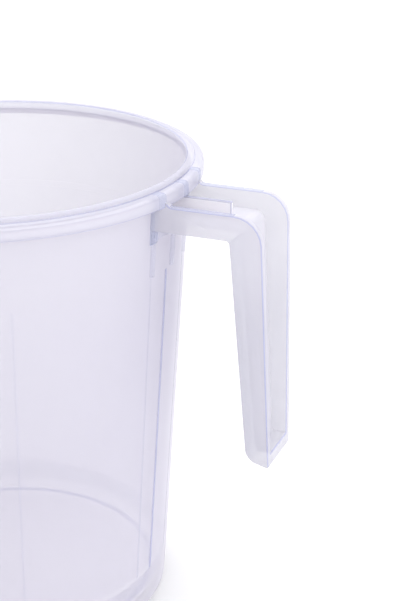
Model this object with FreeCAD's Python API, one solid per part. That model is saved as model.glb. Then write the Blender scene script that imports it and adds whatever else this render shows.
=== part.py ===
import FreeCAD, Part
import math
import os

# One-piece moulded jug with a rolled rim and a hook handle that hangs from the rim.
# Millimetres. Z is up, the origin is the centre of the foot, and the handle is on +X.
# The moulding is divided at its natural edges, and its pieces touch face to face.

# Bowl
overall_height = 138.0
foot_radius = 49.8        # outside of the wall, carried down to the resting plane
wall_draft = 0.0663       # outward lean of the wall, as a slope
wall_thickness = 1.5
foot_height = 2.2
foot_width = 3.0
floor_thickness = 1.6
heel_fillet_radius = 3.0
heel_height = 14.4        # bead round the inside, a little above the floor
shoulder_height = 112.4   # bead that stops stacked jugs from jamming
bead_depth = 0.5
bead_height = 1.8

# Rolled rim
collar_overhang = 3.73    # from the outside of the wall to the outside of the skirt
collar_thickness = 1.5
collar_corner = 1.1
skirt_drop = 3.8          # from the top of the ledge to the lower edge of the skirt
lip_rise = 1.2            # top of the lip above the ledge
lip_width = 2.5

# Hook handle: a trough that is open on its outer side
arm_depth = 7.3
handle_length = 73.5      # from the top of the arm to the tip
arm_reach = 25.3          # from the skirt to the outer edge of the grip
grip_depth = 9.4          # at the top of the arm
grip_lean = 0.03          # outward lean of the free edges, as a slope
finger_lean = 0.068       # outward lean of the finger side
bend_radius = 7.5
floor_bend = 2.5          # rounding of the trough's floor at the bend
tip_corner = 3.0
tip_rise = 1.7            # the tip is lowest on its outer side
handle_half_width = 12.2
flank_draft = 0.045       # each flank leans in by this slope towards the tip
flank_thickness = 2.3
web_thickness = 2.2
rib_thickness = 1.5
rib_reach = 12.9          # from the skirt to the end of the centre rib

# Ribs on the wall in line with the handle
gusset_reach = 5.0        # along the arm, from the wall
gusset_drop = 4.0         # down the wall
gusset_hollow = 0.4       # 0.5 is straight, and less is more hollow
root_rib_depth = 0.9
root_rib_thickness = 1.2
rim_rib_thickness = 3.0
wall_line_depth = 0.35    # fine lines from the shoulder down to the heel
wall_line_width = 0.7
parting_line_angle = -2.7   # from the handle, in degrees
side_line_angle = -54.3

# Pouring lip, opposite the handle
spout_overhang = 10.5     # from the skirt to the tip of the lip
spout_foot_height = 96.0
spout_half_width = 14.0
spout_flange = 2.5

# Sizes that follow from the ones above
ledge_top = overall_height - lip_rise
ledge_bottom = ledge_top - collar_thickness
skirt_bottom = ledge_top - skirt_drop
floor_top = foot_height + floor_thickness
arm_top = skirt_bottom
arm_bottom = arm_top - arm_depth
tip_bottom = arm_top - handle_length


def wall_outside(z):
    return foot_radius + wall_draft * z


def wall_inside(z):
    return wall_outside(z) - wall_thickness


collar_radius = wall_outside(ledge_bottom) + collar_overhang
flank_middle = handle_half_width - flank_thickness / 2
flank_angle = math.degrees(math.asin(flank_middle / wall_outside(arm_bottom)))
handle_reach = collar_radius + arm_reach
cutter = handle_reach + overall_height   # reaches past every piece


def at(x, z):
    return FreeCAD.Vector(x, 0, z)


def outline(start, *steps):
    """Closed face in the XZ plane. A step is (x, z), or (x, z, x, z) for an arc: middle, end."""
    edges = []
    here = at(*start)
    closing = () if steps[-1][-2:] == start else (start,)
    for step in steps + closing:
        end = at(*step[-2:])
        if len(step) == 4:
            edges.append(Part.Arc(here, at(*step[:2]), end).toShape())
        else:
            edges.append(Part.LineSegment(here, end).toShape())
        here = end
    return Part.Face(Part.Wire(edges))


def turned(start, *steps):
    """Solid of revolution about Z."""
    return outline(start, *steps).revolve(at(0, 0), at(0, 1), 360)


def plate(face, middle, thickness):
    """A face in the XZ plane given a thickness, centred on y = middle."""
    solid = face.extrude(FreeCAD.Vector(0, thickness, 0))
    solid.translate(FreeCAD.Vector(0, middle - thickness / 2, 0))
    return solid


def wall_cone(low, high, radius=wall_outside, grow=0.0):
    """Solid cone that follows the wall between two heights."""
    return Part.makeCone(radius(low) + grow, radius(high) + grow, high - low, at(0, low))


def wall_zone(low, high):
    return wall_cone(low, high).cut(wall_cone(low, high, wall_inside))


def inner_bead(height):
    """Low ridge with bevelled edges on the inside of the wall, its top at this height."""
    low = height - bead_height
    return turned((wall_inside(low), low), (wall_inside(height), height),
                  (wall_inside(height) - bead_depth, height - bead_depth),
                  (wall_inside(low) - bead_depth, low + bead_depth))


def free_edge(z):
    """Outer edge of the grip at a height."""
    return handle_reach + grip_lean * (arm_top - z)


def finger_side(z):
    """Inner edge of the grip at a height."""
    return handle_reach - grip_depth + finger_lean * (arm_top - z)


def trough_floor(z):
    return finger_side(z) + web_thickness


def half_way(angle, radius):
    """Offsets from an arc's centre to its middle point, given that point's angle in degrees."""
    return radius * math.cos(math.radians(angle)), radius * math.sin(math.radians(angle))


def between_flanks(half_width):
    """Wedge on the handle's side whose two faces lean as the flanks do."""
    low = half_width - flank_draft * arm_top
    high = half_width + flank_draft * (cutter - arm_top)
    corners = [(-low, 0), (low, 0), (high, cutter), (-high, cutter), (-low, 0)]
    wire = Part.makePolygon([FreeCAD.Vector(0, y, z) for y, z in corners])
    return Part.Face(wire).extrude(at(cutter, 0))


def box(x_low, x_high, z_low, z_high):
    """Block as wide as the cutter across the handle."""
    return Part.makeBox(x_high - x_low, 2 * cutter, z_high - z_low,
                        FreeCAD.Vector(x_low, -cutter, z_low))


def bowl():
    """Foot, floor and wall, from the resting plane up to the rim."""
    foot_outside = foot_radius - wall_thickness
    foot = turned((foot_outside - foot_width, 0), (foot_outside, 0),
                  (foot_outside, foot_height), (foot_outside - foot_width, foot_height))
    corner = wall_inside(floor_top)
    fillet_x, fillet_z = half_way(-45, heel_fillet_radius)
    fillet_top = floor_top + heel_fillet_radius
    heel_fillet = turned((corner, floor_top), (wall_inside(fillet_top), fillet_top),
                         (corner - heel_fillet_radius + fillet_x, fillet_top + fillet_z,
                          corner - heel_fillet_radius, floor_top))
    return {
        "foot_ring": foot,
        "floor_disc": wall_cone(foot_height, floor_top),
        "heel_fillet": heel_fillet,
        "heel_wall": wall_zone(floor_top, heel_height),
        "heel_bead": inner_bead(heel_height),
        "lower_wall": wall_zone(heel_height, shoulder_height),
        "shoulder_bead": inner_bead(shoulder_height),
        "upper_wall": wall_zone(shoulder_height, ledge_bottom),
    }


def rim():
    """Rounded lip, flat ledge and hanging skirt of the rolled rim."""
    lip_inside = wall_inside(ledge_bottom)
    lip_outside = lip_inside + lip_width
    lip_crest = (wall_inside(ledge_top) + lip_outside) / 2
    round_x, round_z = half_way(45, collar_corner)
    return {
        "lip": turned((lip_inside, ledge_bottom), (lip_outside, ledge_bottom),
                      (lip_outside, ledge_top),
                      (lip_crest, overall_height, wall_inside(ledge_top), ledge_top)),
        "rim_ledge": turned((lip_outside, ledge_bottom), (collar_radius, ledge_bottom),
                            (collar_radius, ledge_top - collar_corner),
                            (collar_radius - collar_corner + round_x,
                             ledge_top - collar_corner + round_z,
                             collar_radius - collar_corner, ledge_top),
                            (lip_outside, ledge_top)),
        "rim_skirt": turned((collar_radius - collar_thickness, skirt_bottom),
                            (collar_radius, skirt_bottom),
                            (collar_radius, ledge_bottom),
                            (collar_radius - collar_thickness, ledge_bottom)),
    }


def handle():
    """Hook handle: two flanks joined by a web, a closed tip and a rib along the arm."""
    bend_z = arm_top - bend_radius
    bend_x = free_edge(bend_z) - bend_radius
    bend_dx, bend_dz = half_way(45, bend_radius)
    tip_z = tip_bottom + tip_rise
    tip_x = finger_side(tip_z + tip_corner) + tip_corner
    tip_dx, tip_dz = half_way(225, tip_corner)
    side = outline((0, arm_top), (bend_x, arm_top),
                   (bend_x + bend_dx, bend_z + bend_dz, bend_x + bend_radius, bend_z),
                   (free_edge(tip_bottom), tip_bottom), (tip_x, tip_z),
                   (tip_x + tip_dx, tip_z + tip_corner + tip_dz,
                    tip_x - tip_corner, tip_z + tip_corner),
                   (finger_side(arm_bottom), arm_bottom), (0, arm_bottom))

    arm_floor = arm_bottom + web_thickness
    tip_floor = tip_z + web_thickness
    turn_z = arm_floor - floor_bend
    turn_x = trough_floor(turn_z) - floor_bend
    turn_dx, turn_dz = half_way(45, floor_bend)
    trough = outline((0, arm_floor), (turn_x, arm_floor),
                     (turn_x + turn_dx, turn_z + turn_dz, turn_x + floor_bend, turn_z),
                     (trough_floor(tip_floor), tip_floor), (cutter, tip_floor),
                     (cutter, cutter), (0, cutter))

    wall = wall_cone(0, overall_height)
    block = plate(side, 0, 2 * cutter).cut(wall).common(between_flanks(handle_half_width))
    core = between_flanks(handle_half_width - flank_thickness)
    flanks = block.cut(core)
    web = block.common(core).cut(plate(trough, 0, 2 * cutter))
    rib_end = collar_radius + rib_reach
    rib = outline((0, arm_floor), (rib_end, arm_floor), (rib_end, arm_top), (0, arm_top))
    left_side = Part.makeBox(cutter, cutter, cutter)
    return {
        "handle_left_flank": flanks.common(left_side),
        "handle_right_flank": flanks.cut(left_side),
        "handle_arm_web": web.common(box(0, cutter, arm_bottom, cutter)),
        "handle_grip_web": web.common(box(0, cutter, tip_floor, arm_bottom)),
        "handle_tip": web.common(box(0, cutter, 0, tip_floor)),
        "handle_centre_rib": plate(rib, 0, rib_thickness).cut(wall),
    }


def fins(angles, thickness):
    """Upright plates that stand out from the axis at these angles from the handle."""
    upright = outline((0, 0), (cutter, 0), (cutter, cutter), (0, cutter))
    made = []
    for angle in angles:
        fin = plate(upright, 0, thickness)
        fin.rotate(at(0, 0), at(0, 1), angle)
        made.append(fin)
    return made


def ribs():
    """Ribs where the handle meets the bowl, under the rim and down the wall, and fine lines."""
    collar_inside = collar_radius - collar_thickness
    under_rim = turned((wall_outside(skirt_bottom), skirt_bottom), (collar_inside, skirt_bottom),
                       (collar_inside, ledge_bottom), (wall_outside(ledge_bottom), ledge_bottom))

    gusset_bottom = arm_bottom - gusset_drop
    gusset_root = wall_outside(gusset_bottom) + root_rib_depth
    gusset_tip = wall_outside(arm_bottom) + gusset_reach
    root = turned((wall_outside(shoulder_height), shoulder_height),
                  (wall_outside(shoulder_height) + root_rib_depth, shoulder_height),
                  (gusset_root, gusset_bottom),
                  (gusset_root + (gusset_tip - gusset_root) * gusset_hollow,
                   arm_bottom - gusset_drop * gusset_hollow, gusset_tip, arm_bottom),
                  (wall_outside(arm_bottom), arm_bottom))

    skin = wall_cone(heel_height, shoulder_height, grow=wall_line_depth).cut(
        wall_cone(heel_height, shoulder_height))
    in_line = (-flank_angle, 0, flank_angle)
    fine = (-flank_angle, parting_line_angle, flank_angle, side_line_angle)
    return {
        "rim_ribs": Part.makeCompound([under_rim.common(fin)
                                       for fin in fins(in_line, rim_rib_thickness)]),
        "root_ribs": Part.makeCompound([root.common(fin)
                                        for fin in fins(in_line, root_rib_thickness)]),
        "wall_lines": Part.makeCompound([skin.common(fin)
                                         for fin in fins(fine, wall_line_width)]),
    }


def spout_cone(grow):
    """Leaning cone whose point is on the wall; a negative grow gives the inside of the lip."""
    foot = at(-wall_outside(spout_foot_height), spout_foot_height)
    crown = at(spout_half_width - spout_overhang - collar_radius, overall_height)
    axis = crown - foot
    height = axis.Length
    axis.normalize()
    half_angle = math.atan(spout_half_width / height)
    start = foot - axis * (grow / math.sin(half_angle))
    length = height * 2
    return Part.makeCone(0, length * math.tan(half_angle), length, start, axis)


def pouring_lip(pieces):
    """Cut the rim open opposite the handle, and add the lip and its flange."""
    outside = spout_cone(0)
    hollow = spout_cone(-wall_thickness)
    for name in ("upper_wall", "lower_wall", "shoulder_bead"):
        pieces[name] = pieces[name].cut(hollow)
    for name in ("lip", "rim_ledge", "rim_skirt"):
        pieces[name] = pieces[name].cut(outside)
    inside_bowl = wall_cone(ledge_bottom, overall_height, wall_inside)
    below_top = box(-cutter, 0, 0, overall_height)
    pieces["pouring_lip"] = outside.cut(hollow).common(below_top).cut(
        wall_cone(0, ledge_bottom)).cut(inside_bowl)
    flange = spout_cone(spout_flange).common(box(-cutter, 0, ledge_bottom, ledge_top))
    pieces["pouring_lip_flange"] = flange.cut(outside).cut(
        Part.makeCylinder(collar_radius, overall_height))


os.makedirs("parts", exist_ok=True)
pieces = bowl()
pieces.update(rim())
pieces.update(handle())
pieces.update(ribs())
pouring_lip(pieces)
for name, shape in pieces.items():
    shape.exportStep("parts/" + name + ".step")
    print(name, len(shape.Solids), "solids", round(shape.Volume), "mm3", shape.isValid())
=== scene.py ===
import math

import bmesh
import bpy
from mathutils import Matrix, Vector


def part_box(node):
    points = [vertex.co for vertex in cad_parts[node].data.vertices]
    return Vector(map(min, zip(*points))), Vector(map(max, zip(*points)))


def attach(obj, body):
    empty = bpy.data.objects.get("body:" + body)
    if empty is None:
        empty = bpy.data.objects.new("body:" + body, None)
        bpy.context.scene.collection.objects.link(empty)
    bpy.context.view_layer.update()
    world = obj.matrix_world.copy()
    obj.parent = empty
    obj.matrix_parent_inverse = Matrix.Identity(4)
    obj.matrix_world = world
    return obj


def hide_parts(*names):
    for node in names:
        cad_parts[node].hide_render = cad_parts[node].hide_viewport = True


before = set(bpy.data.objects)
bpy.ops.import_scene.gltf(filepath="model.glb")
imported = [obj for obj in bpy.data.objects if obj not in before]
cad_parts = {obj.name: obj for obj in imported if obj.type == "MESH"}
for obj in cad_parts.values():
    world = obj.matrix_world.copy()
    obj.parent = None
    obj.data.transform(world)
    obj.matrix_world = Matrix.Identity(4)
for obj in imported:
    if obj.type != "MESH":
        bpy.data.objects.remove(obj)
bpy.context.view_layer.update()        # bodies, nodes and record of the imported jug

mm = 0.001


def low(node):
    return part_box(node)[0]


def high(node):
    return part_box(node)[1]


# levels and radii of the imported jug

ledgeTop = high("rim_ledge")[2]
ledgeBottom = low("rim_ledge")[2]
skirtBottom = low("rim_skirt")[2]
lipTop = high("lip")[2]
collarRadius = high("rim_skirt")[0]
heelTop = high("heel_wall")[2]
shoulderTop = high("lower_wall")[2]
floorTop = high("floor_disc")[2]
floorBottom = low("floor_disc")[2]
armTop = skirtBottom
armBottom = low("handle_arm_web")[2]
tipBottom = low("handle_left_flank")[2]
wallSlope = (high("upper_wall")[0] - high("heel_wall")[0]) / (ledgeBottom - heelTop)


# mesh helpers

outline = {
    "cornerSegments": 6,          # facets round each rounded corner
    "edgeSegments": 2,            # and across each softened edge
    "smoothBelow": 40,            # degrees; steeper edges stay crisp
    "mergeTurned": 0.002 * mm,    # corners closer than this are one, after a spin
    "mergeCut": 0.01 * mm,        # and after a cut
}


def drawOutline(bm, corners, closed):
    # a corner is (x, z) or (x, z, radius), in the plane through the handle
    verts = [bm.verts.new((corner[0], 0, corner[1])) for corner in corners]
    for first, second in zip(verts, verts[1:]):
        bm.edges.new((first, second))
    if closed:
        bm.edges.new((verts[-1], verts[0]))
    for vert, corner in zip(verts, corners):
        if len(corner) > 2:
            bmesh.ops.bevel(bm, geom=[vert], offset=corner[2], offset_type='OFFSET', affect='VERTICES',
                            segments=outline["cornerSegments"], profile=0.5, material=-1)


def softenEdges(bm, edges, width):
    return bmesh.ops.bevel(bm, geom=edges, offset=width, offset_type='OFFSET', affect='EDGES',
                           segments=outline["edgeSegments"], profile=0.5, material=-1,
                           clamp_overlap=False)["faces"]


def spinOutline(corners):
    # turns an outline about Z into a closed shell; one with its ends on the axis isn't joined up first
    bm = bmesh.new()
    drawOutline(bm, corners, corners[0][0] > 0)
    bmesh.ops.spin(bm, geom=bm.verts[:] + bm.edges[:], cent=(0, 0, 0), axis=(0, 0, 1),
                   angle=math.tau, steps=bowl["steps"], use_merge=True, use_duplicate=False)
    bmesh.ops.remove_doubles(bm, verts=bm.verts, dist=outline["mergeTurned"])
    bmesh.ops.recalc_face_normals(bm, faces=bm.faces)
    return bm


def widen(corners, halfWidth, draft):
    # an outline in the handle's plane gets a width, less towards the tip
    bm = bmesh.new()
    drawOutline(bm, corners, True)
    bmesh.ops.contextual_create(bm, geom=bm.edges[:])
    made = bmesh.ops.extrude_face_region(bm, geom=bm.faces[:])["geom"]
    left = [item for item in made if isinstance(item, bmesh.types.BMVert)]
    for vert in bm.verts:
        reach = halfWidth + draft * (vert.co.z - armTop)
        vert.co.y = reach if vert in left else -reach
    bmesh.ops.recalc_face_normals(bm, faces=bm.faces)
    return bm


def addTurned(whole, fin, angle):
    # a fin joins the others of its piece, turned to its place round the bowl
    bmesh.ops.rotate(fin, verts=fin.verts, cent=(0, 0, 0),
                     matrix=Matrix.Rotation(math.radians(angle), 3, 'Z'))
    mesh = bpy.data.meshes.new("fin")
    fin.to_mesh(mesh)
    fin.free()
    whole.from_mesh(mesh)
    bpy.data.meshes.remove(mesh)


def makePlug(bottom, top, bottomRadius, topRadius):
    bm = bmesh.new()
    bmesh.ops.create_cone(bm, cap_ends=True, segments=bowl["steps"], radius1=bottomRadius,
                          radius2=topRadius, depth=top - bottom)
    bmesh.ops.translate(bm, verts=bm.verts, vec=(0, 0, (top + bottom) / 2))
    return makePiece("plug", bm)


def softenShading(piece):
    piece.data.shade_smooth()
    piece.data.set_sharp_from_angle(angle=math.radians(outline["smoothBelow"]))


def makePiece(name, bm, finishes=()):
    mesh = bpy.data.meshes.new(name)
    bm.to_mesh(mesh)
    bm.free()
    for finishName in finishes:
        mesh.materials.append(finish[finishName])
    piece = bpy.data.objects.new(name, mesh)
    bpy.context.collection.objects.link(piece)
    softenShading(piece)
    return piece


def cutAway(piece, tool):
    modifier = piece.modifiers.new("cut", 'BOOLEAN')
    modifier.operation = 'DIFFERENCE'
    modifier.solver = 'EXACT'
    modifier.object = tool
    graph = bpy.context.evaluated_depsgraph_get()
    piece.data = bpy.data.meshes.new_from_object(piece.evaluated_get(graph))
    piece.modifiers.clear()
    bpy.data.objects.remove(tool)


# finishes

plastic = {
    "ior": 1.49,
    "cloudSize": 9,                       # per metre
    "cloudRange": (0.2, 0.8),
    "flowStretch": (1, 1, 0.25),          # flow marks run up the wall
    "paintedLightAbove": (0.100, 0.118),           # metres up; painted light: every finish turns towards its lighter colour above, brightening the handle's arm that the lamps light less
    "alphaDrift": 0.05,
    "facingBlend": 0.3,
    "speckSize": 26,
    "speckEdge": (0.012, 0.03),
    "speckColour": (0.6, 0.5, 0.62),
    "smudgeSize": 27,
    "smudgeRange": (0.3, 0.7),
    "roughness": (0.29, 0.42),
    "peelSize": 1400,
    "peelHeight": 0.03 * mm,
    "peelStrength": 0.6,
}
shades = {    # colour, colour where the flow left it clearer and where painted light is added higher up, alpha face on and edge on, gloss
    "milky wall": ((0.71, 0.69, 0.785), (0.74, 0.72, 0.805), (0.40, 0.92), 0.1),
    "milky rim": ((0.66, 0.65, 0.755), (0.68, 0.67, 0.775), (0.42, 0.94), 0.1),
    "milky grip": ((0.615, 0.605, 0.69), (0.75, 0.735, 0.81), (0.46, 0.94), 0.1),
    # painted shade: the grip's side that faces the wall, and a thin ring at the bowl's heel
    "finger side": ((0.49, 0.48, 0.61), (0.56, 0.56, 0.70), (0.50, 0.94), 0.1),
    "thick edge": ((0.46, 0.48, 0.73), (0.50, 0.52, 0.76), (0.50, 0.80), 0.05),
    "rim line": ((0.52, 0.54, 0.77), (0.56, 0.58, 0.79), (0.32, 0.60), 0.05),
    "faint rib": ((0.58, 0.62, 0.81), (0.62, 0.65, 0.83), (0.25, 0.50), 0.1),
    "floor line": ((0.38, 0.40, 0.63), (0.42, 0.44, 0.66), (0.85, 0.95), 0.05),
    # painted light: lightens shaded places and pale bands on the bowl's bottom, inside the rim's skirt
    # and on the arm's centre rib
    "painted light band": ((0.93, 0.91, 0.96), (0.95, 0.93, 0.97), (0.75, 0.95), 0.3),
    "clear rib": ((0.56, 0.59, 0.78), (0.60, 0.62, 0.80), (0.10, 0.24), 0.05),
}


def mixColours(tree, factor, first, second):
    mix = tree.nodes.new("ShaderNodeMix")
    mix.data_type = 'RGBA'
    tree.links.new(factor, mix.inputs["Factor"])
    for socket, colour in ((mix.inputs["A"], first), (mix.inputs["B"], second)):
        if isinstance(colour, tuple):
            socket.default_value = (*colour, 1)
        else:
            tree.links.new(colour, socket)
    return mix.outputs["Result"]


def spread(tree, value, fromLow, fromHigh, toLow, toHigh):
    node = tree.nodes.new("ShaderNodeMapRange")
    node.inputs["From Min"].default_value = fromLow
    node.inputs["From Max"].default_value = fromHigh
    node.inputs["To Min"].default_value = toLow
    node.inputs["To Max"].default_value = toHigh
    tree.links.new(value, node.inputs["Value"])
    return node.outputs["Result"]


def noise(tree, place, scale, detail):
    node = tree.nodes.new("ShaderNodeTexNoise")
    node.inputs["Scale"].default_value = scale
    node.inputs["Detail"].default_value = detail
    tree.links.new(place, node.inputs["Vector"])
    return node.outputs["Fac"]


def makePlastic(name):
    colour, clearAndLitColour, alpha, gloss = shades[name]
    material = bpy.data.materials.new(name)
    material.use_nodes = True
    tree = material.node_tree
    surface = tree.nodes["Principled BSDF"]
    surface.inputs["IOR"].default_value = plastic["ior"]
    surface.inputs["Specular IOR Level"].default_value = gloss
    place = tree.nodes.new("ShaderNodeTexCoord").outputs["Object"]

    stretch = tree.nodes.new("ShaderNodeMapping")
    stretch.inputs["Scale"].default_value = plastic["flowStretch"]
    tree.links.new(place, stretch.inputs["Vector"])
    cloud = noise(tree, stretch.outputs["Vector"], plastic["cloudSize"], detail=1)
    drift = spread(tree, cloud, *plastic["cloudRange"], 0, 0.5)
    # painted light: colours turn lighter higher up, to brighten the handle's arm
    heights = tree.nodes.new("ShaderNodeSeparateXYZ")
    tree.links.new(place, heights.inputs["Vector"])
    paintedLightAbove = spread(tree, heights.outputs["Z"], *plastic["paintedLightAbove"], 0, 0.5)
    flowAndLight = tree.nodes.new("ShaderNodeMath")
    flowAndLight.operation = 'ADD'
    tree.links.new(drift, flowAndLight.inputs[0])
    tree.links.new(paintedLightAbove, flowAndLight.inputs[1])
    tint = mixColours(tree, flowAndLight.outputs["Value"], colour, clearAndLitColour)

    cells = tree.nodes.new("ShaderNodeTexVoronoi")     # a few tiny specks in the moulding
    cells.inputs["Scale"].default_value = plastic["speckSize"]
    tree.links.new(place, cells.inputs["Vector"])
    speck = spread(tree, cells.outputs["Distance"], *plastic["speckEdge"], 1, 0)
    tint = mixColours(tree, speck, tint, plastic["speckColour"])
    tree.links.new(tint, surface.inputs["Base Color"])

    facing = tree.nodes.new("ShaderNodeLayerWeight")   # a thin shell hides more when seen edge on
    facing.inputs["Blend"].default_value = plastic["facingBlend"]
    shown = spread(tree, facing.outputs["Facing"], 0, 1, *alpha)
    patchy = tree.nodes.new("ShaderNodeMath")
    patchy.operation = 'MULTIPLY_ADD'
    patchy.inputs[1].default_value = -plastic["alphaDrift"]
    tree.links.new(drift, patchy.inputs[0])
    tree.links.new(shown, patchy.inputs[2])
    tree.links.new(patchy.outputs["Value"], surface.inputs["Alpha"])

    smudge = noise(tree, place, plastic["smudgeSize"], detail=6)
    roughness = spread(tree, smudge, *plastic["smudgeRange"], *plastic["roughness"])
    tree.links.new(roughness, surface.inputs["Roughness"])
    peel = tree.nodes.new("ShaderNodeBump")
    peel.inputs["Strength"].default_value = plastic["peelStrength"]
    peel.inputs["Distance"].default_value = plastic["peelHeight"]
    tree.links.new(noise(tree, place, plastic["peelSize"], detail=2), peel.inputs["Height"])
    tree.links.new(peel.outputs["Normal"], surface.inputs["Normal"])
    return material


# bowl

bowl = {
    "wall": 1.5 * mm,
    "footWidth": 3.0 * mm,
    "footCorner": 0.25 * mm,
    "heelCorner": 0.5 * mm,
    "filletRadius": 3.0 * mm,
    "bandMiddle": 0.3,        # height of the fillet's band of painted light, as a share of its radius
    "bandReach": 0.8,         # and how far the band reaches from there
    "floorLine": 0.9 * mm,    # dark line round the floor, where the plastic is thickest
    "beadHeight": 1.8 * mm,
    "heelBeadDepth": 0.1 * mm,
    "shoulderBeadDepth": 0.02 * mm,
    "beadRound": 0.6,         # share of a bead's depth
    "steps": 240,             # facets round the bowl
    "spoutRings": 24,         # rings in the stretch of wall that the spout bends
    "ringGap": 0.25,          # share of the space between rings that other corners keep clear
}
bowlFinishes = ("milky wall", "floor line", "painted light band", "finger side")
spout = {
    "foot": 96.0 * mm,        # where the pouring lip fades into the wall
    "halfWidth": 19.0 * mm,
    "reach": 13.0 * mm,
}


def wallOutside(z):
    return high("heel_wall")[0] + wallSlope * (z - heelTop)


def wallInside(z):
    return wallOutside(z) - bowl["wall"]


def markRings(bm, finishes, rings):
    # faces whose middles are near a point of the outline take another of the piece's finishes
    for face in bm.faces:
        middle = face.calc_center_median()
        for (radius, height), nearness, finishName in rings:
            if math.hypot(middle.xy.length - radius, middle.z - height) < nearness:
                face.material_index = finishes.index(finishName)


def beadCorners(top, depth):
    bottom = top - bowl["beadHeight"]
    rounding = depth * bowl["beadRound"]
    return [(wallInside(top), top), (wallInside(top) - depth, top - depth, rounding),
            (wallInside(bottom) - depth, bottom + depth, rounding), (wallInside(bottom), bottom)]


def spoutHeights(bottom, top):
    gap = (ledgeBottom - spout["foot"]) / bowl["spoutRings"]
    clear = gap * bowl["ringGap"]
    heights = [spout["foot"] + gap * ring for ring in range(bowl["spoutRings"])]
    return [z for z in heights if bottom + clear < z < top - clear]


def pullSpout(bm):
    # the side opposite the handle is drawn out into a pouring lip that fades out down the wall
    for vert in bm.verts:
        rise = (vert.co.z - spout["foot"]) / (lipTop - spout["foot"])
        if rise > 0 and vert.co.x < 0:
            across = min(abs(vert.co.y) / (spout["halfWidth"] * rise), 1)
            vert.co.x -= spout["reach"] * rise * (1 + math.cos(math.pi * across)) / 2


def makeBowl():
    footOutside = high("foot_ring")[0]
    footInside = footOutside - bowl["footWidth"]
    corner = bowl["footCorner"]
    corners = [(0, floorBottom), (footInside, floorBottom), (footInside, 0, corner),
               (footOutside, 0, corner), (footOutside, floorBottom),
               (wallOutside(floorBottom), floorBottom, bowl["heelCorner"]),
               (wallOutside(heelTop), heelTop)]
    corners += [(wallOutside(z), z) for z in spoutHeights(0, ledgeBottom)]
    corners += [(wallOutside(ledgeBottom), ledgeBottom), (wallInside(ledgeBottom), ledgeBottom)]
    beadBottom = shoulderTop - bowl["beadHeight"]
    corners += [(wallInside(z), z) for z in reversed(spoutHeights(shoulderTop, ledgeBottom))]
    corners += beadCorners(shoulderTop, bowl["shoulderBeadDepth"])
    corners += [(wallInside(z), z) for z in reversed(spoutHeights(0, beadBottom))]
    corners += beadCorners(heelTop, bowl["heelBeadDepth"])
    fillet = bowl["filletRadius"]
    floorEdge = wallInside(floorTop) - fillet
    corners += [(wallInside(floorTop), floorTop, fillet),
                (floorEdge - bowl["floorLine"], floorTop), (0, floorTop)]
    bm = spinOutline(corners)

    band = fillet * bowl["bandMiddle"]
    bead = bowl["beadHeight"] / 2
    heelMiddle = (heelTop - bowl["beadHeight"] + floorTop + fillet) / 2
    wedgeMiddle = (floorEdge - bowl["floorLine"]) * 2 / 3      # of the floor's wedges
    # painted light: pale bands on the fillet, the heel bead and the floor's wedges, over the shade in the
    # bottom of the bowl; a thin ring between heel bead and fillet takes the grip's darker painted-shade
    # finish
    markRings(bm, bowlFinishes, [
        ((floorEdge + fillet - band, floorTop + band), fillet * bowl["bandReach"], "painted light band"),
        ((floorEdge, floorTop), bowl["floorLine"], "floor line"),
        ((wallInside(heelTop), heelTop - bead), bead + bowl["heelBeadDepth"], "painted light band"),
        ((wallInside(heelMiddle), heelMiddle), bowl["heelBeadDepth"], "finger side"),
        ((wedgeMiddle, floorTop), fillet, "painted light band")])
    pullSpout(bm)
    piece = makePiece("bowl", bm, bowlFinishes)
    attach(piece, "root")
    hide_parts("foot_ring", "floor_disc", "heel_fillet", "heel_wall", "heel_bead",
                "lower_wall", "shoulder_bead", "upper_wall")


# rolled rim

rim = {
    "lipWidth": 2.5 * mm,
    "lipRound": 1.0 * mm,
    "collarThickness": 1.5 * mm,
    "collarCorner": 1.1 * mm,
    "skirtCorner": 0.25 * mm,
    "edgeLine": 0.4 * mm,     # how far the bluer lines reach from the rim's edges
    "lipLine": 0.55 * mm,
    "paintedLightInside": 0.3 * mm,   # the same for the painted light on the faces inside the skirt and under the ledge, over the ledge's shade
}
rimFinishes = ("milky rim", "rim line", "painted light band")
lipOutside = wallInside(ledgeBottom) + rim["lipWidth"]


def makeRim():
    collarInside = collarRadius - rim["collarThickness"]
    corner = rim["skirtCorner"]
    corners = [(wallInside(ledgeBottom), ledgeBottom), (collarInside, ledgeBottom, corner),
               (collarInside, skirtBottom, corner), (collarRadius, skirtBottom, corner),
               (collarRadius, ledgeTop, rim["collarCorner"]), (lipOutside, ledgeTop, corner),
               (lipOutside, lipTop, rim["lipRound"]), (wallInside(lipTop), lipTop, rim["lipRound"])]
    bm = spinOutline(corners)
    underLedge = (collarInside + wallInside(ledgeBottom)) / 2
    skirtMiddle = (ledgeBottom + skirtBottom) / 2
    # painted light inside the skirt and under the ledge, over the shade the ledge casts
    markRings(bm, rimFinishes, [
        ((collarRadius, skirtBottom), rim["edgeLine"], "rim line"),
        ((lipOutside, ledgeTop), rim["edgeLine"], "rim line"),
        ((wallInside(lipTop), lipTop), rim["lipLine"], "rim line"),
        ((collarInside, skirtMiddle), rim["paintedLightInside"], "painted light band"),
        ((underLedge, ledgeBottom), rim["paintedLightInside"], "painted light band")])
    pullSpout(bm)
    piece = makePiece("rolled_rim", bm, rimFinishes)
    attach(piece, "root")
    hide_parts("lip", "rim_ledge", "rim_skirt", "pouring_lip", "pouring_lip_flange")


# ribs that fill the rim from below, where the handle hangs

rimRibs = {
    "skin": 0.03 * mm,        # how far they stand out of the rim, which looks darker there
    "thickness": 3.0 * mm,
    "angles": (-12.2, -0.6, 10.6),
    "sideways": 0.5,          # a face that looks more along the rim than this is a rib's side
}
rimRibFinishes = ("rim line", "faint rib")


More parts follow.
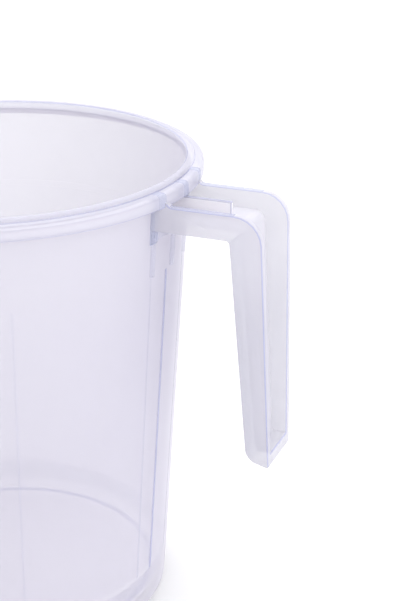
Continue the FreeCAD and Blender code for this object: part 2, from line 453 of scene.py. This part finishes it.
def makeRimRibs():
    skin = rimRibs["skin"]
    under, above, outer = skirtBottom - skin, ledgeTop + skin, collarRadius + skin
    whole = bmesh.new()
    for angle in rimRibs["angles"]:
        rib = widen([(wallOutside(skirtBottom), under), (outer, under),
                     (outer, above, rim["collarCorner"]), (lipOutside, above),
                     (wallOutside(ledgeBottom), ledgeBottom)], rimRibs["thickness"] / 2, 0)
        for face in rib.faces:
            isSide = abs(face.normal.y) > rimRibs["sideways"]
            face.material_index = rimRibFinishes.index("rim line" if isSide else "faint rib")
        addTurned(whole, rib, angle)
    piece = makePiece("rim_arches", whole, rimRibFinishes)
    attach(piece, "root")
    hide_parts("rim_ribs")


# hook handle: a trough open on its outer side

hook = {
    "start": 40.0 * mm,       # inside the wall, and cut back to it afterwards
    "reach": 87.8 * mm,
    "gripDepth": 9.4 * mm,
    "gripLean": 0.03,
    "fingerLean": 0.068,
    "bend": 7.5 * mm,
    "floorBend": 2.5 * mm,
    "gapCorner": 1.0 * mm,
    "tipCorner": 3.0 * mm,
    "tipPoint": 0.8 * mm,
    "tipRise": 1.7 * mm,
    "halfWidth": 12.2 * mm,
    "draft": 0.045,
    "flank": 2.3 * mm,
    "web": 2.2 * mm,
    "rimFillet": 2.2 * mm,         # height of the rounding where the flanks meet the rim's skirt
    "rimFilletRadius": 1.98 * mm,
    "rib": 1.5 * mm,
    "ribDrop": 0.3 * mm,           # top of the rib below the edges of the arm
    "softEdge": 0.35 * mm,
    "topBand": 0.1 * mm,           # faces this close below the top count as the top
    "facingUp": 0.9,               # limits for which way a face looks
    "facingFingers": -0.7,
    "facingAway": -0.2,
}
handleFinishes = ("milky grip", "thick edge", "faint rib", "finger side")
# the centre rib's own finish is painted light, over the shade between the handle's flanks
armRibFinishes = ("painted light band", "rim line", "faint rib")


def freeEdge(z):
    return hook["reach"] + hook["gripLean"] * (armTop - z)


def fingerSide(z):
    return hook["reach"] - hook["gripDepth"] + hook["fingerLean"] * (armTop - z)


def cutToWall(piece):
    cutAway(piece, makePlug(0, lipTop, wallOutside(0), wallOutside(lipTop)))


def reachOut(vert):
    # how far a corner lies outside the wall, or outside the rim where it's higher
    height = vert.co.z
    return vert.co.xy.length - (wallOutside(height) if height <= armTop else collarRadius)


def finishEdges(piece, finishes):
    # outer edges clear of the wall are rounded; those facing up or out take the second finish
    piece.data.materials.clear()
    for finishName in finishes:
        piece.data.materials.append(finish[finishName])
    bm = bmesh.new()
    bm.from_mesh(piece.data)
    bmesh.ops.remove_doubles(bm, verts=bm.verts, dist=outline["mergeCut"])
    for face in bm.faces:
        face.material_index = 0
    steep = math.radians(outline["smoothBelow"])
    outer = [edge for edge in bm.edges if len(edge.link_faces) == 2
             and edge.calc_face_angle_signed() > steep
             and any(reachOut(vert) > hook["softEdge"] for vert in edge.verts)]
    for face in softenEdges(bm, outer, hook["softEdge"]):
        if face.normal.z > hook["facingAway"] and face.normal.x > hook["facingAway"]:
            face.material_index = 1
    bm.to_mesh(piece.data)
    bm.free()
    softenShading(piece)


def colourTops(piece, finishes, top):
    # thick plastic looks bluer where it's seen from its top edge
    for face in piece.data.polygons:
        isTop = face.normal.z > hook["facingUp"] and face.center.z > top - hook["topBand"]
        if face.material_index == 0 and isTop:
            face.material_index = finishes.index("faint rib")


def makeHandle():
    start, web, rise = hook["start"], hook["web"], hook["rimFillet"]
    tipTop = tipBottom + hook["tipRise"]
    behind = math.sqrt(collarRadius ** 2 - hook["halfWidth"] ** 2)
    body = widen([(start, armTop + rise), (behind, armTop + rise),
                  (behind, armTop, hook["rimFilletRadius"]),
                  (freeEdge(armTop), armTop, hook["bend"]),
                  (freeEdge(tipBottom), tipBottom, hook["tipPoint"]),
                  (fingerSide(tipTop), tipTop, hook["tipCorner"]),
                  (fingerSide(armBottom), armBottom, hook["gapCorner"]), (start, armBottom)],
                 hook["halfWidth"], hook["draft"])
    beyond = collarRadius * 2
    trough = widen([(start - web, armBottom + web),
                    (fingerSide(armBottom) + web, armBottom + web, hook["floorBend"]),
                    (fingerSide(tipTop) + web, tipTop + web, hook["gapCorner"]),
                    (beyond, tipTop + web), (beyond, beyond * 2), (start - web, beyond * 2)],
                   hook["halfWidth"] - hook["flank"], hook["draft"])
    piece = makePiece("hook_handle", body)
    cutAway(piece, makePlug(armTop, lipTop, collarRadius, collarRadius))
    cutAway(piece, makePiece("trough", trough))
    cutToWall(piece)
    finishEdges(piece, handleFinishes)
    colourTops(piece, handleFinishes, armTop)
    # painted shade on the grip's side that faces the wall
    for face in piece.data.polygons:
        getsPaintedShade = face.normal.x < hook["facingFingers"] and face.center.z < armBottom
        if face.material_index == 0 and getsPaintedShade:
            face.material_index = handleFinishes.index("finger side")
    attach(piece, "root")
    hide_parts("handle_left_flank", "handle_right_flank", "handle_arm_web",
                "handle_grip_web", "handle_tip")


def makeCentreRib():
    # low rib along the middle of the arm, ending in a square edge
    start, end = hook["start"], high("handle_centre_rib")[0]
    bottom, top = armBottom + hook["web"], armTop - hook["ribDrop"]
    rib = widen([(start, bottom), (end, bottom), (end, top), (start, top)], hook["rib"] / 2, 0)
    piece = makePiece("centre_rib_of_arm", rib)
    cutToWall(piece)
    # the rib's faces take painted light, over the shade between the flanks
    finishEdges(piece, armRibFinishes)
    colourTops(piece, armRibFinishes, top)
    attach(piece, "root")
    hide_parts("handle_centre_rib")


# fine lines down the wall

wallLines = {
    "sunk": 0.05 * mm,
    "proud": 0.15 * mm,
    "runOut": 2.0 * mm,       # slope at each end
    "softEdge": 0.06 * mm,
    "lines": (                # degrees from the handle, width, finish
        (-10.96, 0.6 * mm, "clear rib"),
        (-2.7, 1.1 * mm, "rim line"),
        (10.96, 0.6 * mm, "clear rib"),
        (-54.3, 0.5 * mm, "clear rib"),
    ),
}
wallLineFinishes = ("rim line", "clear rib")


def makeWallLines():
    sunk, proud = wallLines["sunk"], wallLines["proud"]
    lineLow, lineHigh = heelTop + wallLines["runOut"], shoulderTop - wallLines["runOut"]
    corners = [(wallOutside(heelTop) - sunk, heelTop), (wallOutside(lineLow) + proud, lineLow),
               (wallOutside(lineHigh) + proud, lineHigh), (wallOutside(shoulderTop) - sunk, shoulderTop)]
    whole = bmesh.new()
    for angle, width, finishName in wallLines["lines"]:
        line = widen(corners, width / 2, 0)
        softenEdges(line, line.edges[:], wallLines["softEdge"])
        for face in line.faces:
            face.material_index = wallLineFinishes.index(finishName)
        addTurned(whole, line, angle)
    piece = makePiece("fine_wall_lines", whole, wallLineFinishes)
    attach(piece, "root")
    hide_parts("wall_lines")


# flank roots: thicker plastic where each flank of the handle runs into the wall

flankRoots = {
    "angles": (-10.96, 10.96),
    "thickness": 2.6 * mm,
    "reach": 1.0 * mm,
    "drop": 4.0 * mm,         # below the arm
    "runOut": 0.9 * mm,       # rounding at the lower end
    "softEdge": 0.15 * mm,
}


def makeFlankRoots():
    bottom, reach = armBottom - flankRoots["drop"], flankRoots["reach"]
    corners = [(wallOutside(armTop), armTop), (wallOutside(armTop) + reach, armTop),
               (wallOutside(bottom) + reach, bottom, flankRoots["runOut"]), (wallOutside(bottom), bottom)]
    whole = bmesh.new()
    for angle in flankRoots["angles"]:
        root = widen(corners, flankRoots["thickness"] / 2, 0)
        softenEdges(root, root.edges[:], flankRoots["softEdge"])
        addTurned(whole, root, angle)
    piece = makePiece("flank_roots", whole, ("faint rib",))
    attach(piece, "root")


def finishRootRibs():
    # these keep their own shapes, and hardly show against the wall
    materials = bpy.data.objects["root_ribs"].data.materials
    materials.clear()
    materials.append(finish["clear rib"])


# stage, light and camera

stage = {
    "floorSize": 6,
    "floorColour": (0.95, 0.95, 0.95),
    "floorRoughness": 0.9,
    "floorGloss": 0.1,
    "skyColour": (1, 1, 1),
    "skyStrength": 1.0,
}
lamps = {
    "key": {"place": (-0.4, 0.2, 1.5), "size": 1.4, "power": 8},
    "fill": {"place": (1.3, -0.3, 0.9), "size": 1.2, "power": 5},
    "side": {"place": (-1.0, 0.5, 1.0), "size": 1.0, "power": 1.5},
}
cameraSetup = {
    "place": (0.2057, -0.3451, 0.2551),
    "looks": (-0.3467, 0.8582, -0.3785),
    "lens": 87.45,
    "sensor": 36,
}


def makeFloor():
    bm = bmesh.new()
    bmesh.ops.create_grid(bm, x_segments=2, y_segments=2, size=stage["floorSize"])
    material = bpy.data.materials.new("pale floor")
    material.use_nodes = True
    surface = material.node_tree.nodes["Principled BSDF"]
    surface.inputs["Base Color"].default_value = (*stage["floorColour"], 1)
    surface.inputs["Roughness"].default_value = stage["floorRoughness"]
    surface.inputs["Specular IOR Level"].default_value = stage["floorGloss"]
    finish["pale floor"] = material
    makePiece("floor", bm, ("pale floor",))


def makeLamps():
    for name, lamp in lamps.items():
        light = bpy.data.lights.new(name, 'AREA')
        light.shape = 'DISK'
        light.size = lamp["size"]
        light.energy = lamp["power"]
        holder = bpy.data.objects.new(name, light)
        holder.location = lamp["place"]
        towards = Vector((0, 0, lipTop / 2)) - holder.location
        holder.rotation_euler = towards.to_track_quat('-Z', 'Y').to_euler()
        bpy.context.collection.objects.link(holder)
    sky = bpy.data.worlds.new("studio")
    sky.use_nodes = True
    background = sky.node_tree.nodes["Background"]
    background.inputs["Color"].default_value = (*stage["skyColour"], 1)
    background.inputs["Strength"].default_value = stage["skyStrength"]
    bpy.context.scene.world = sky
    bpy.context.scene.view_settings.view_transform = 'Standard'


def makeCamera():
    camera = bpy.data.cameras.new("camera")
    camera.lens = cameraSetup["lens"]
    camera.sensor_width = cameraSetup["sensor"]
    holder = bpy.data.objects.new("camera", camera)
    holder.location = cameraSetup["place"]
    holder.rotation_euler = Vector(cameraSetup["looks"]).to_track_quat('-Z', 'Y').to_euler()
    bpy.context.collection.objects.link(holder)
    bpy.context.scene.camera = holder


finish = {name: makePlastic(name) for name in shades}
print("plastic is mixed")
makeFloor()
makeLamps()
makeCamera()
print("stage, light and camera are set")
makeBowl()
print("bowl is turned and its pouring lip drawn out")
makeRim()
makeRimRibs()
print("rim is rolled")
makeHandle()
makeCentreRib()
makeWallLines()
makeFlankRoots()
finishRootRibs()
print("handle and ribs are made")
